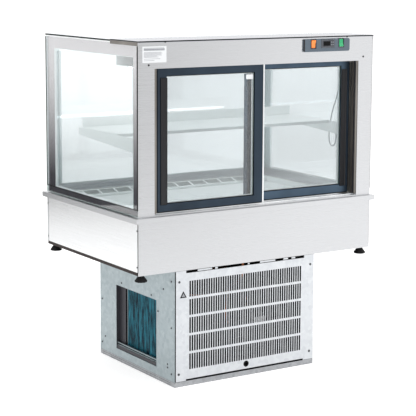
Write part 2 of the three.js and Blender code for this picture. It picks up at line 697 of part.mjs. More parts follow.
// The removable rear panel: rows of upright slots, a cable hole, and notches in both long edges.
function grillePanel() {
  const z0 = BOX.lip + 1;
  const z1 = BOX_HEIGHT - 1;
  const x0 = BOX.x0 + 6;
  const x1 = BOX.x1;
  const notch = { x0: LEFT + 212, x1: LEFT + 771, top: 10, bottom: 6 };
  const shape = outline([
    [x0, z0],
    [notch.x0, z0],
    [notch.x0, z0 + notch.bottom],
    [notch.x1, z0 + notch.bottom],
    [notch.x1, z0],
    [x1, z0],
    [x1, z1],
    [notch.x1, z1],
    [notch.x1, z1 - notch.top],
    [notch.x0, z1 - notch.top],
    [notch.x0, z1],
    [x0, z1],
  ]);
  const openings = [rod("y", CABLE_HOLE.radius, 10, CABLE_HOLE.x, BOX.y0, CABLE_HOLE.z, 20)];
  const halfSlot = SLOT.width / 2;
  for (let row = 0; row < SLOT.rows; row++) {
    const top = SLOT.topZ - row * SLOT.pitchZ;
    for (let column = 0; column < SLOT.columns; column++) {
      const x = SLOT.firstX + column * SLOT.pitchX;
      const cutter = box(x - halfSlot, x + halfSlot, BOX.y0 - 2, BOX.y0 + 4, top - SLOT.height, top);
      openings.push(cutter);
    }
  }
  add("box_grille_panel", cut(plateXZ(shape, BOX.y0, THIN), ...openings), GALVANISED);
}

// Finned condenser behind the intake, its fan shroud with the motor on three struts, and the rotor.
function condenser() {
  const coil = { x0: BOX.x0 + 28, x1: BOX.x0 + 82, y0: -262, y1: 32, z0: 100, z1: 350 };
  const { x0, x1, y0, y1, z0, z1 } = coil;
  const finBlock = box(x0, x1, y0 + 3, y1 - 3, z0, z1);
  const endPlates = [
    box(x0 - 4, x1 + 4, y0, y0 + 3, z0 - 4, z1 + 4),
    box(x0 - 4, x1 + 4, y1 - 3, y1, z0 - 4, z1 + 4),
  ];
  const stand = [
    box(x0 - 8, x1 + 4, y0, y1, z0 - 6, z0 - 4),
    box(x0 - 8, x0 - 6, y0, y1, z0 - 6, z0 + 2),
    box(x1 - 8, x1 + 4, y0, y0 + 3, THIN + GAP, z0),
    box(x1 - 8, x1 + 4, y1 - 3, y1, THIN + GAP, z0),
  ];
  add("condenser_coil", join(finBlock, ...endPlates, ...stand), COATED_FINS);

  const wall = x1 + 4 + GAP;
  const reach = FAN.x + 32;
  const plate = box(wall, wall + SHEET, y0, BOX.y1 - 30, THIN + GAP, z1 + 20);
  const bell = rod("x", FAN.radius + 9, reach - wall, (reach + wall) / 2, FAN.y, FAN.z, 40);
  const bore = rod("x", FAN.radius + 6, reach - wall + 20, (reach + wall) / 2, FAN.y, FAN.z, 40);
  const motorX = FAN.x + 46;
  const motor = rod("x", 38, 50, motorX + 5, FAN.y, FAN.z, 24);
  const strut = (turn) => {
    const arm = box(-4, 4, -5, 5, 30, FAN.radius + 8).translate(reach - 4, 0, 0);
    return arm.rotateX(turn).translate(0, FAN.y, FAN.z);
  };
  const struts = [0, 1, 2].map((i) => strut((i * 2 * Math.PI) / 3));
  const hub = rod("x", 38, motorX - reach + 8, (motorX + reach - 8) / 2, FAN.y, FAN.z, 24);
  add("fan_shroud", join(cut(join(plate, bell), bore), motor, hub, ...struts), BLACK_STEEL);
  add("condenser_fan", axialFan(FAN.radius, 30, 30, 5).translate(FAN.x, FAN.y, FAN.z), BLACK_PLASTIC);
}

// The hermetic compressor on its base plate, and the insulated suction line up to the evaporator.
const COMPRESSOR = { x: 130, y: -95 };

function compressor() {
  const base = THIN + GAP;
  const profile = [
    [0, base + 14],
    [66, base + 14],
    [80, base + 30],
    [84, base + 70],
    [88, base + 74],
    [88, base + 84],
    [84, base + 88],
    [80, base + 150],
    [62, base + 182],
    [30, base + 194],
    [0, base + 196],
  ];
  const pot = new THREE.LatheGeometry(profile.map(([r, h]) => new THREE.Vector2(r, h)), 28);
  pot.rotateX(Math.PI / 2);
  const plate = box(-105, 105, -75, 75, base + 12, base + 15);
  const corners = [[-90, -60], [90, -60], [-90, 60], [90, 60]];
  const feet = corners.map(([x, y]) => rod("z", 11, 13, x, y, base + 6.5, 12));
  const terminals = box(-30, 30, -104, -70, base + 80, base + 130);
  const geometry = join(pot, plate, ...feet, terminals).translate(COMPRESSOR.x, COMPRESSOR.y, 0);
  add("compressor", geometry, BLACK_STEEL);
}

function suctionPipe() {
  const points = [
    [0, -262, WELL.z0 + 12],
    [0, -262, WELL.z0 - 20],
    [0, -262, BOX_HEIGHT - 20],
    [0, -262, BOX_HEIGHT - 60],
    [4, -240, BOX_HEIGHT - 100],
    [14, -190, BOX_HEIGHT - 125],
    [26, -140, BOX_HEIGHT - 150],
    [28, -110, BOX_HEIGHT - 190],
    [28, -98, BOX_HEIGHT - 250],
    [32, -95, BOX_HEIGHT - 300],
    [41, -95, BOX_HEIGHT - 320],
  ];
  const path = new THREE.CatmullRomCurve3(points.map((p) => new THREE.Vector3(...p)));
  const section = new THREE.Shape();
  section.absarc(0, 0, 6, 0, Math.PI * 2);
  const pipe = new THREE.ExtrudeGeometry(section, { steps: 36, curveSegments: 5, extrudePath: path });
  add("suction_pipe", pipe, COPPER);
}

// ---------------------------------------------------------------- the whole case
dropInFlange();
collarPanels();
collarBaseTray();
for (const [name, [x, y]] of Object.entries(FOOT_PLACES)) foot(name, x, y);
well();
deckPlates();
frontAirGrille();
evaporator();
glassBody();
rearFrame();
header();
controls();
tracks();
jamb("jamb_left", -1);
jamb("jamb_right", 1);
door("left_door", OUTER_DOOR, OUTER_DOOR.x0 + 12);
door("right_door", INNER_DOOR, INNER_DOOR.x0 + INNER_DOOR.width - INNER_DOOR.stile - 1);
shelf();
lightingLead();
boxBaseTray();
boxPanels();
grillePanel();
condenser();
compressor();
suctionPipe();

export default showcase;
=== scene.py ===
# %% [markdown]
# # A drop-in refrigerated display case
# The case is a glass showcase on a stainless collar, over a galvanised box with the condensing unit.
# This notebook gives the CAD model its finished surfaces: it rounds the folded sheet, splits the
# glazing into real panes, and adds seals, screws, fins and pipes. Panes, coils and frames take their
# places from the CAD boxes. Small trim such as a seal or a screw is placed one by one, in millimetres.

# %% Load the frame
import json
import math

import bmesh
import bpy
import numpy as np
from mathutils import Matrix, Vector

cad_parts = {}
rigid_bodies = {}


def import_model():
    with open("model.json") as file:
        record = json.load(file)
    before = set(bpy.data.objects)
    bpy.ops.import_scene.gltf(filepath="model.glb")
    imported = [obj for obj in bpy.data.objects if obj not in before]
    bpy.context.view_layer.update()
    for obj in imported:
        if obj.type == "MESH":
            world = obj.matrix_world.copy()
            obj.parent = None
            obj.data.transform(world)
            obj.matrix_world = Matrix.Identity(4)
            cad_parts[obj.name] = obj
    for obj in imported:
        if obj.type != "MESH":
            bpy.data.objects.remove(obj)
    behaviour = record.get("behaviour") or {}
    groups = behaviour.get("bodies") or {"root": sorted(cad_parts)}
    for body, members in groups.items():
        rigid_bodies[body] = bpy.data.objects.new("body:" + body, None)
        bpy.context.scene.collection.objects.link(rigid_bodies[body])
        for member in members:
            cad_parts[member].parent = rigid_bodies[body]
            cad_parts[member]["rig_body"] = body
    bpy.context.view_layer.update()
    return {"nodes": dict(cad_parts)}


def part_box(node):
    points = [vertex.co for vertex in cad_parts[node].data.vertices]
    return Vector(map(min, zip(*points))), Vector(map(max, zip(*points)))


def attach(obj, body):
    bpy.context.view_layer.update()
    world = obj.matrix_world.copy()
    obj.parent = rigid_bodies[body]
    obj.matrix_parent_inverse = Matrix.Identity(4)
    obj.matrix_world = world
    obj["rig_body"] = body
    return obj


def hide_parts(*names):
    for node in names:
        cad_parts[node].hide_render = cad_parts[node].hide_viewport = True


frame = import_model()
MM = 0.001

# %% [markdown]
# ## Camera
# A long lens stands a little above the case and looks at its service side from the left. The lens
# shift keeps the uprights upright, as a shift lens does. The camera's axes are worked out from its
# heading, its pitch and a trace of roll.

# %% Camera
SENSOR = 36.0  # mm
FOCAL_LENGTH = 123.0  # mm
SHIFT_UP = -0.101  # of the sensor's width
CAMERA_PLACE = (-3.1434, -4.8998, 1.6088)
HEADING = math.radians(32.69)  # from +Y towards +X
PITCH = math.radians(8.02)  # downwards
ROLL = math.radians(0.26)


def new_object(name, data):
    """An object for a mesh, a lamp or a camera, linked to the scene."""
    made = bpy.data.objects.new(name, data)
    bpy.context.scene.collection.objects.link(made)
    return made


ahead = Vector((math.sin(HEADING), math.cos(HEADING), 0))
level = Vector((math.cos(HEADING), -math.sin(HEADING), 0))
forward = math.cos(PITCH) * ahead - math.sin(PITCH) * Vector((0, 0, 1))
upward = math.sin(PITCH) * ahead + math.cos(PITCH) * Vector((0, 0, 1))
camera_x = math.cos(ROLL) * level + math.sin(ROLL) * upward
camera_y = math.cos(ROLL) * upward - math.sin(ROLL) * level

lens = bpy.data.cameras.new("camera")
lens.sensor_width = SENSOR
lens.lens = FOCAL_LENGTH
lens.shift_y = SHIFT_UP
lens.clip_end = 200
camera = new_object("camera", lens)
turn = Matrix((camera_x, camera_y, -forward)).transposed().to_4x4()
camera.matrix_world = Matrix.Translation(CAMERA_PLACE) @ turn
bpy.context.scene.camera = camera
print("camera at", CAMERA_PLACE)

# %% [markdown]
# ## Small helpers for shapes
# Every new piece is a surface worked out as whole arrays: a set of boxes, a rectangular ring, a
# profile turned about an axis, or a section carried along a path. A shape is a pair of vertices and
# faces, and several shapes join into one piece.


# %% Shapes
def blocks(*spans):
    """Boxes, one for each row x0, x1, y0, y1, z0, z1: corner i takes the low or high end of each span
    by the bits of i."""
    spans = np.asarray(spans, float).reshape(-1, 3, 2)
    bits = (np.arange(8)[:, None] >> np.arange(3)) & 1
    vertices = spans[:, np.arange(3), bits]
    sides = np.array([[0, 4, 6, 2], [1, 3, 7, 5], [0, 1, 5, 4], [2, 6, 7, 3], [0, 2, 3, 1], [4, 5, 7, 6]])
    faces = sides + 8 * np.arange(len(spans))[:, None, None]
    return vertices.reshape(-1, 3), faces.reshape(-1, 4).tolist()


ORDER = {"x": [2, 0, 1], "y": [1, 2, 0], "z": [0, 1, 2]}  # turns a shape about Z into one about each axis


def ring(axis, outer, inner, near, far):
    """A rectangular frame between two depths along an axis. outer and inner are a0, a1, b0, b1 in the
    two axes that follow it (Y, Z for x; Z, X for y; X, Y for z)."""
    rectangles = np.array([outer, inner], float)
    corners = rectangles[:, [[0, 2], [1, 2], [1, 3], [0, 3]]].reshape(8, 2)
    flat = np.vstack([np.column_stack([corners, np.full(8, depth)]) for depth in (near, far)])
    side = np.arange(4)
    after = (side + 1) % 4
    loops = [(0, 4), (4, 12), (12, 8), (8, 0)]
    faces = [np.column_stack([a + side, a + after, b + after, b + side]) for a, b in loops]
    return flat[:, ORDER[axis]], np.vstack(faces).tolist()


def wrap_faces(rows, columns):
    """Quads of a grid whose columns close on themselves: column i joins i + 1, and the last the first."""
    row = np.arange(rows - 1)[:, None]
    column = np.arange(columns)[None, :]
    up, side = row + 1, (column + 1) % columns
    quads = [row * columns + column, row * columns + side, up * columns + side, up * columns + column]
    return np.stack(np.broadcast_arrays(*quads), -1).reshape(-1, 4).tolist()


def lathe(profile, centres, axis, sides):
    """(radius, height) points turned about an axis, x = r cos t and y = r sin t, at each centre."""
    radius, height = np.asarray(profile, float).T
    turn = np.linspace(0, 2 * np.pi, sides, endpoint=False)
    grid = np.stack(np.broadcast_arrays(
        radius[:, None] * np.cos(turn), radius[:, None] * np.sin(turn), height[:, None]), -1)
    grid = grid.reshape(-1, 3)[:, ORDER[axis]]
    centres = np.asarray(centres, float)
    faces = np.array(wrap_faces(len(radius), sides))
    moved = faces + len(grid) * np.arange(len(centres))[:, None, None]
    return (centres[:, None] + grid).reshape(-1, 3), moved.reshape(-1, 4).tolist()


def sweep(section, path, up=(0, 0, 1)):
    """A closed (a, b) section carried along an open path: each point adds a times the side vector and
    b times the lift vector, which are square to the path. The two ends are capped."""
    section, path = np.asarray(section, float), np.asarray(path, float)
    tangent = np.gradient(path, axis=0)
    side = np.cross(tangent, up)
    side /= np.linalg.norm(side, axis=1)[:, None]
    lift = np.cross(side, tangent)
    lift /= np.linalg.norm(lift, axis=1)[:, None]
    a, b = section[None, :, :1], section[None, :, 1:]
    vertices = path[:, None] + a * side[:, None] + b * lift[:, None]
    count = len(section)
    caps = [list(range(count)), list(range((len(path) - 1) * count, len(path) * count))]
    return vertices.reshape(-1, 3), wrap_faces(len(path), count) + caps


def circle(radius, sides):
    """Points on a circle, as a section."""
    turn = np.linspace(0, 2 * np.pi, sides, endpoint=False)
    return radius * np.column_stack([np.cos(turn), np.sin(turn)])


def curve_through(points, steps):
    """A Catmull-Rom curve: between p1 and p2 it is half of 2 p1 + (p2 - p0) t
    + (2 p0 - 5 p1 + 4 p2 - p3) t^2 + (3 p1 - p0 - 3 p2 + p3) t^3."""
    p = np.asarray(points, float)
    p = np.vstack([2 * p[0] - p[1], p, 2 * p[-1] - p[-2]])
    t = np.linspace(0, 1, steps, endpoint=False)[None, :, None]
    p0, p1, p2, p3 = (p[i:len(p) - 3 + i, None] for i in range(4))
    spans = 2 * p1 + (p2 - p0) * t + (2 * p0 - 5 * p1 + 4 * p2 - p3) * t**2
    spans = (spans + (3 * p1 - p0 - 3 * p2 + p3) * t**3) / 2
    return np.vstack([spans.reshape(-1, 3), p[-2]])


def together(*shapes):
    """Several shapes as one."""
    vertices = np.vstack([shape[0] for shape in shapes])
    starts = np.cumsum([0] + [len(shape[0]) for shape in shapes])
    faces = [[i + start for i in face] for (_, part), start in zip(shapes, starts) for face in part]
    return vertices, faces


print("shape helpers ready")

# %% [markdown]
# ## Turning a shape into a piece
# A piece merges doubled points, turns its faces outwards, gets a material, and rides on a CAD body.
# A bevel rounds its edges, because no real edge is perfectly sharp and a thin bright line along an
# edge is what makes sheet metal look folded. `refine` does the same to a copy of a CAD node.


# %% Pieces
CREASE = math.radians(35)


def shade_smooth(mesh):
    """Smooths a mesh, but keeps every edge sharp that turns by more than the crease angle."""
    mesh.polygons.foreach_set("use_smooth", np.ones(len(mesh.polygons), bool))
    mesh.set_sharp_from_angle(angle=CREASE)


def finish_mesh(mesh):
    """Merges doubled points, turns faces outwards and smooths all but the sharp edges."""
    work = bmesh.new()
    work.from_mesh(mesh)
    bmesh.ops.remove_doubles(work, verts=work.verts, dist=1e-6)
    bmesh.ops.recalc_face_normals(work, faces=work.faces)
    work.to_mesh(mesh)
    work.free()
    shade_smooth(mesh)


def round_edges(made, width):
    """A bevel on the edges that turn by more than the crease angle."""
    bevel = made.modifiers.new("rounded edges", "BEVEL")
    bevel.width = width
    bevel.segments = 2
    bevel.limit_method = "ANGLE"
    bevel.angle_limit = CREASE
    bevel.harden_normals = True


def piece(name, shape, material, body="root", bevel=0.0):
    """Makes one piece from a shape, in place, riding on a body."""
    vertices, faces = shape
    mesh = bpy.data.meshes.new(name)
    mesh.from_pydata(np.asarray(vertices).tolist(), [], faces)
    finish_mesh(mesh)
    mesh.materials.append(material)
    made = new_object(name, mesh)
    if bevel:
        round_edges(made, bevel)
    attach(made, body)
    return made


def corners(*nodes):
    """The lowest and highest corner of one or more CAD nodes, as arrays."""
    boxes = [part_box(node) for node in nodes]
    low = np.min([np.array(low) for low, _ in boxes], axis=0)
    return low, np.max([np.array(high) for _, high in boxes], axis=0)


def refine(node, material, bevel=0.5 * MM):
    """A copy of a CAD node with its flat triangles dissolved and its edges rounded, in its place."""
    source = frame["nodes"][node]
    mesh = source.data.copy()
    mesh.name = node + "_finished"
    work = bmesh.new()
    work.from_mesh(mesh)
    bmesh.ops.remove_doubles(work, verts=work.verts, dist=2e-6)
    bmesh.ops.dissolve_limit(work, angle_limit=math.radians(1), verts=work.verts, edges=work.edges)
    work.to_mesh(mesh)
    work.free()
    shade_smooth(mesh)
    mesh.materials.clear()
    mesh.materials.append(material)
    made = new_object(node + "_finished", mesh)
    round_edges(made, bevel)
    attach(made, source["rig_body"])
    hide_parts(node)
    return made


def per_face(mesh, value):
    """One vector for each face of a mesh: its normal or its center."""
    values = np.zeros(3 * len(mesh.polygons))
    mesh.polygons.foreach_get(value, values)
    return values.reshape(-1, 3)


def second_material(made, extra, chosen):
    """Gives the chosen faces of a piece a second material."""
    made.data.materials.append(extra)
    made.data.polygons.foreach_set("material_index", chosen.astype(np.int32))


print("piece helpers ready")

# %% [markdown]
# ## Small helpers for materials
# Colours are written as sRGB hex and turned to linear light by one function. One function adds a
# node, sets it and links it.


# %% Material helpers
def colour(text):
    """An sRGB hex colour in linear light: c / 12.92 when dark, else ((c + 0.055) / 1.055) ^ 2.4."""
    c = np.array([int(text[i:i + 2], 16) for i in (1, 3, 5)]) / 255
    linear = np.where(c <= 0.04045, c / 12.92, ((c + 0.055) / 1.055) ** 2.4)
    return (*linear.tolist(), 1.0)


def add(tree, kind, inputs=None, **settings):
    """Adds a node. settings are its properties; inputs are values, or sockets to link from."""
    node = tree.nodes.new(kind)
    for name, value in settings.items():
        setattr(node, name, value)
    for name, value in (inputs or {}).items():
        if isinstance(value, bpy.types.NodeSocket):
            tree.links.new(value, node.inputs[name])
        else:
            node.inputs[name].default_value = value
    return node


def material(name, base, roughness, metallic=0.0, **more):
    """A new material with one Principled shader, and that shader."""
    made = bpy.data.materials.new(name)
    made.use_nodes = True
    shader = made.node_tree.nodes["Principled BSDF"]
    shader.inputs["Base Color"].default_value = colour(base)
    shader.inputs["Roughness"].default_value = roughness
    shader.inputs["Metallic"].default_value = metallic
    for socket, value in more.items():
        shader.inputs[socket.replace("_", " ")].default_value = value
    made.diffuse_color = colour(base)
    return made, shader


def noise(tree, scale, detail=3.0, rough=0.5):
    """Noise on Object coordinates. scale is features per metre along X, Y and Z."""
    place = add(tree, "ShaderNodeTexCoord")
    stretch = add(tree, "ShaderNodeMapping", {"Vector": place.outputs["Object"], "Scale": scale})
    inputs = {"Vector": stretch.outputs[0], "Scale": 1.0, "Detail": detail, "Roughness": rough}
    return add(tree, "ShaderNodeTexNoise", inputs).outputs["Fac"]


def vary(tree, shader, factor, socket, low, high, start=0.3, stop=0.7):
    """Drives a socket between two values, or two hex colours, by a factor from start to stop."""
    if isinstance(low, str):
        ramp = add(tree, "ShaderNodeValToRGB", {"Fac": factor})
        ramp.color_ramp.elements[0].position = start
        ramp.color_ramp.elements[1].position = stop
        ramp.color_ramp.elements[0].color = colour(low)
        ramp.color_ramp.elements[1].color = colour(high)
        tree.links.new(ramp.outputs["Color"], shader.inputs[socket])
        return
    inputs = {"Value": factor, "From Min": start, "From Max": stop, "To Min": low, "To Max": high}
    spread = add(tree, "ShaderNodeMapRange", inputs)
    tree.links.new(spread.outputs["Result"], shader.inputs[socket])


def bump(tree, shader, height, depth, strength=1.0):
    """Turns a height into a bump of that depth in metres."""
    node = add(tree, "ShaderNodeBump", {"Height": height, "Distance": depth, "Strength": strength})
    tree.links.new(node.outputs["Normal"], shader.inputs["Normal"])


print("material helpers ready")

# %% [markdown]
# ## Brushed stainless steel
# Grade 304 sheet, belt-ground along its length. The grain is long scratches 0.1 mm apart, too fine to
# show here, so they are drawn about 1 mm apart. They blur the reflections across the grain only, and
# leave faint streaks. The sheet is folded, so its grain runs along X on the long faces and along Y on
# the sides. It is one steel on the real case. The tones differ here from face to face, because they
# also stand for how brightly a larger room would light each face.


# %% Stainless
def brushed(name, base, along, roughness=(0.24, 0.36)):
    """Brushed steel: roughness and a shallow bump follow noise stretched along one axis."""
    made, shader = material(name, base, 0.3, 1.0)
    tree = made.node_tree
    pitch = 900.0  # scratches per metre
    scale = [pitch, pitch, pitch]
    scale["xyz".index(along)] = 3.0
    grain = noise(tree, scale, 4.0, 0.6)
    vary(tree, shader, grain, "Roughness", *roughness)
    light, dark = base, "#%02X%02X%02X" % tuple(max(0, int(base[i:i + 2], 16) - 3) for i in (1, 3, 5))
    vary(tree, shader, grain, "Base Color", dark, light, 0.25, 0.6)
    bump(tree, shader, grain, 0.005 * MM, 0.4)
    return made


STEEL_X = brushed("brushed stainless, grain along X", "#C9CACC", "x")
STEEL_Y = brushed("brushed stainless, grain along Y", "#EDEEEF", "y")
STEEL_INSIDE, inside_shader = material("satin stainless, inner sheet", "#F3F6F5", 0.45, 0.12)
vary(STEEL_INSIDE.node_tree, inside_shader, noise(STEEL_INSIDE.node_tree, (4.0, 700.0, 700.0), 3.0),
     "Roughness", 0.36, 0.5)
# The collar's recessed underside strip is drawn near black: painted shade, for the shadow it sits in.
STEEL_SHADED_UNDERSIDE = brushed("brushed stainless underside, painted shade", "#3B3331", "y", (0.4, 0.55))
STEEL_TOP = brushed("brushed stainless, header", "#AEB0B6", "x")
print("stainless finishes made")

# %% [markdown]
# ## Galvanised sheet
# Hot-dipped zinc freezes in crystals, the spangle, 10 to 20 mm across. Each crystal is flat but
# tilted its own way, so it mirrors a different part of the room: that is a cell pattern in both tone
# and roughness, with a fine bloom over it. As with the steel, one zinc gets three tones here.


# %% Galvanised
def galvanised(name, low, high, roughness=(0.28, 0.5)):
    """Zinc spangle: each Voronoi cell, 14 mm across, gets its own tone and roughness."""
    made, shader = material(name, high, 0.4, 1.0)
    tree = made.node_tree
    place = add(tree, "ShaderNodeTexCoord").outputs["Object"]
    warp = add(tree, "ShaderNodeTexNoise", {"Vector": place, "Scale": 40.0, "Detail": 2.0})
    mixed = add(tree, "ShaderNodeVectorMath", {0: warp.outputs["Color"], 1: (0.012, 0.012, 0.012)},
                operation="MULTIPLY")
    shifted = add(tree, "ShaderNodeVectorMath", {0: place, 1: mixed.outputs[0]}, operation="ADD")
    cells = add(tree, "ShaderNodeTexVoronoi", {"Vector": shifted.outputs[0], "Scale": 70.0})
    tone = add(tree, "ShaderNodeSeparateColor", {"Color": cells.outputs["Color"]})
    vary(tree, shader, tone.outputs["Red"], "Base Color", low, high, 0.0, 1.0)
    vary(tree, shader, tone.outputs["Green"], "Roughness", *roughness, 0.0, 1.0)
    bloom = noise(tree, (260.0, 260.0, 260.0), 3.0)
    bump(tree, shader, bloom, 0.08 * MM, 0.5)
    return made


ZINC_SIDE = galvanised("galvanised sheet, side", "#9BA6AA", "#A7B1B4", (0.34, 0.46))
ZINC_REAR = galvanised("galvanised sheet, rear", "#CCCFD3", "#D5D8DB", (0.35, 0.5))
ZINC_TRAY = galvanised("galvanised sheet, tray", "#9C9EA1", "#ACAEB1")
# Near black: partly the dull tone of a cut edge, partly painted shade inside the slots.
CUT_EDGE_AND_SHADE, _ = material("punched edge of galvanised sheet, with painted shade", "#2C2D30", 0.6, 0.3)
print("galvanised finishes made")

# %% [markdown]
# ## Anodised aluminium
# The door profiles are extruded, etched to a satin and anodised slate blue; the jambs are light
# bronze and the sill is bright. The oxide is a clear glassy skin over a dyed layer, so the metal keeps
# a soft highlight of its own.


# %% Anodised and plain aluminium
def satin(name, base, shade, roughness, metallic, fine=900.0):
    """Satin metal: an even fine grit that breaks the highlight a little."""
    made, shader = material(name, base, roughness, metallic)
    tree = made.node_tree
    grit = noise(tree, (fine, fine, fine), 2.0)
    broad = noise(tree, (9.0, 9.0, 4.0), 2.0)
    vary(tree, shader, grit, "Roughness", roughness - 0.05, roughness + 0.08)
    vary(tree, shader, broad, "Base Color", shade, base)
    bump(tree, shader, grit, 0.02 * MM, 0.4)
    return made


SLATE = satin("anodised aluminium, slate", "#323F4C", "#29333E", 0.34, 0.75)
# The same slate alloy drawn lighter for the inner door: painted light, for the brighter light on its frame.
SLATE_LIT = satin("anodised aluminium, slate, painted lighter", "#485A6B", "#3C4B5A", 0.34, 0.75)
BRONZE = satin("anodised aluminium, light bronze", "#8D8984", "#75716C", 0.38, 0.85)
SILL = satin("anodised aluminium, bright", "#F2F3F4", "#DADDDF", 0.28, 1.0)
SPACER = satin("aluminium spacer", "#F4F6F6", "#DDE3E4", 0.4, 0.6)
ZINC_SCREW = satin("zinc-plated screw", "#66686A", "#4C4E50", 0.35, 0.9)
BLACK_SCREW = satin("blackened screw", "#26262A", "#1B1B1E", 0.4, 0.5)
COPPER = satin("drawn copper tube", "#C98257", "#9C5B3A", 0.3, 1.0, 300.0)
print("aluminium finishes made")

# %% [markdown]
# ## Glass
# Soda-lime float glass, IOR 1.52, with a trace of iron that tints it green. A flat thin pane moves
# what is behind it by less than a millimetre, so the shader lets light straight through with a slight
# tint at each face, and mirrors the room by Fresnel's law. That is cleaner than bent light through
# eight faces. A pane's cut edge is seen along its length, so it looks pale green. The border print is
# one dark colour on the real case, and mirrors a bright ceiling near its top. It is drawn paler
# upwards instead, which is a shortcut.


# %% Glass
def clear_glass(name, tint):
    """Straight-through light with a linear tint at each face, and Fresnel reflection on top. The
    Fresnel node inverts its IOR on back faces, so the inverse is given there to avoid a false mirror."""
    made = bpy.data.materials.new(name)
    made.use_nodes = True
    tree = made.node_tree
    tree.nodes.clear()
    through = add(tree, "ShaderNodeBsdfTransparent", {"Color": (*tint, 1.0)})
    mirror = add(tree, "ShaderNodeBsdfGlossy", {"Color": colour("#FFFFFF"), "Roughness": 0.02})
    side = add(tree, "ShaderNodeNewGeometry").outputs["Backfacing"]
    index = add(tree, "ShaderNodeMapRange", {"Value": side, "To Min": 1.52, "To Max": 1 / 1.52})
    rim = add(tree, "ShaderNodeFresnel", {"IOR": index.outputs["Result"]})
    both = add(tree, "ShaderNodeMixShader",
               {0: rim.outputs[0], 1: through.outputs[0], 2: mirror.outputs[0]})
    add(tree, "ShaderNodeOutputMaterial", {"Surface": both.outputs[0]})
    made.diffuse_color = (*tint, 0.3)
    return made


GLASS = clear_glass("float glass", (0.975, 0.985, 0.987))
DOOR_GLASS = clear_glass("float glass, door", (0.908, 0.918, 0.922))
GLASS_EDGE, _ = material("polished glass edge", "#B9CFCB", 0.15, 0.0, IOR=1.52, Coat_Weight=0.6)
CERAMIC_PRINT, print_shader = material("fired ceramic print", "#3A3640", 0.35, 0.0)
tree = CERAMIC_PRINT.node_tree
place = add(tree, "ShaderNodeTexCoord").outputs["Object"]
height = add(tree, "ShaderNodeSeparateXYZ", {"Vector": place}).outputs["Z"]
fade = add(tree, "ShaderNodeMapRange", {"Value": height, "From Min": 0.68, "From Max": 1.3})
vary(tree, print_shader, fade.outputs["Result"], "Base Color", "#332F38", "#C9C4C6", 0.12, 0.95)
PRINT_BACKING, _ = material("fired ceramic print, pale inner coat", "#DFE7E8", 0.4, 0.0)
print("glass made")

# %% [markdown]
# ## Plastics, rubber and paint
# Moulded parts carry a fine spark-eroded texture: a little bump, and a highlight that breaks up. The
# switch caps are a clear coloured acrylic, with a faint painted glow for light passing through them.


# %% Plastics and rubber
def moulded(name, base, roughness, grit=1200.0, depth=0.02, **more):
    """Moulded plastic with an eroded texture."""
    made, shader = material(name, base, roughness, 0.0, **more)
    tree = made.node_tree
    texture = noise(tree, (grit, grit, grit), 2.0)
    vary(tree, shader, texture, "Roughness", roughness - 0.06, roughness + 0.08)
    bump(tree, shader, texture, depth * MM, 0.5)
    return made


BLACK_ABS = moulded("black ABS", "#17171B", 0.42, Specular_IOR_Level=0.35)
BLACK_RUBBER = moulded("EPDM rubber", "#0E0E10", 0.7, 500.0, 0.05, Specular_IOR_Level=0.3)
BLACK_SEAL = moulded("silicone seal", "#08080A", 0.6, Specular_IOR_Level=0.15)
PILE = moulded("black pile strip", "#232227", 0.9, 1500.0, 0.3)
SLATE_ABS = moulded("slate ABS", "#56636F", 0.4)
DISPLAY_ABS = moulded("charcoal ABS", "#3F4249", 0.35)
KEY_ABS = moulded("grey key membrane", "#83878F", 0.5)
# A faint painted glow in both caps, for light passing through the clear acrylic.
ORANGE_CAP = moulded("orange acrylic", "#F4883A", 0.2, Emission_Color=colour("#F07A28"),
                     Emission_Strength=0.25)
GREEN_CAP = moulded("green acrylic", "#1FA468", 0.2, Emission_Color=colour("#16B872"),
                    Emission_Strength=0.15)
DIFFUSER = moulded("opal diffuser, lit", "#FBFCFB", 0.5, Emission_Color=colour("#F7FBFF"),
                   Emission_Strength=4.5)
ACETAL = moulded("white acetal", "#E9E9E5", 0.4)
FOAM = moulded("polyurethane foam", "#E6DCA6", 0.9, 300.0, 0.4)
GREY_LEAD = moulded("grey PVC lead", "#9DA5A9", 0.45)
LABEL = moulded("silver foil label", "#E9EBED", 0.3)
LABEL_RULE = moulded("grey label print", "#9A9CA2", 0.5)
BLACK_ENAMEL = moulded("black enamel", "#222327", 0.3, 200.0, 0.05, Coat_Weight=0.3)
WHITE_BEAD = moulded("clear silicone bead", "#F3F4F4", 0.3)
# Dark sheet for the baffle beside the coil; the same tone paints shade along the intake's foot.
BAFFLE_AND_SHADE = moulded("dark sheet, also painted shade at the intake", "#34343A", 0.5, 200.0, 0.05)
print("plastics made")

# %% [markdown]
# ## Pieces given in millimetres
# Small parts are easier to read in millimetres, so a few helpers take them that way: bars, pairs of
# bars on both sides, and screws with a domed head and a round socket.


# %% Bars and screws
def bars(*spans):
    """Boxes with their spans in millimetres."""
    return blocks(*(np.array(spans, float) * MM))


def frame_bar(axis, outer, inner, near, far):
    """A rectangular ring in millimetres."""
    return ring(axis, np.array(outer) * MM, np.array(inner) * MM, near * MM, far * MM)


def heads(centres, axis, radius=3.4, height=1.5):
    """Domed screw heads in millimetres. A negative height points them down the axis."""
    outline = [(0, 0), (1, 0), (1, 0.25), (0.93, 0.6), (0.75, 0.88), (0.48, 1.0), (0.44, 0.45), (0, 0.4)]
    profile = np.array(outline) * (radius * MM, height * MM)
    return lathe(profile, np.array(centres, float) * MM, axis, 18)


def both_sides(near, far, *rest):
    """The spans of two bars, left and right, between two distances from the middle of the case."""
    return [(-far, -near, *rest), (near, far, *rest)]


print("millimetre helpers ready")

# %% [markdown]
# ## Stainless body
# Collar, flange, rear frame, header, deck and shelf are folded from 1 to 2 mm sheet, with about half a
# millimetre of rounding on every fold.

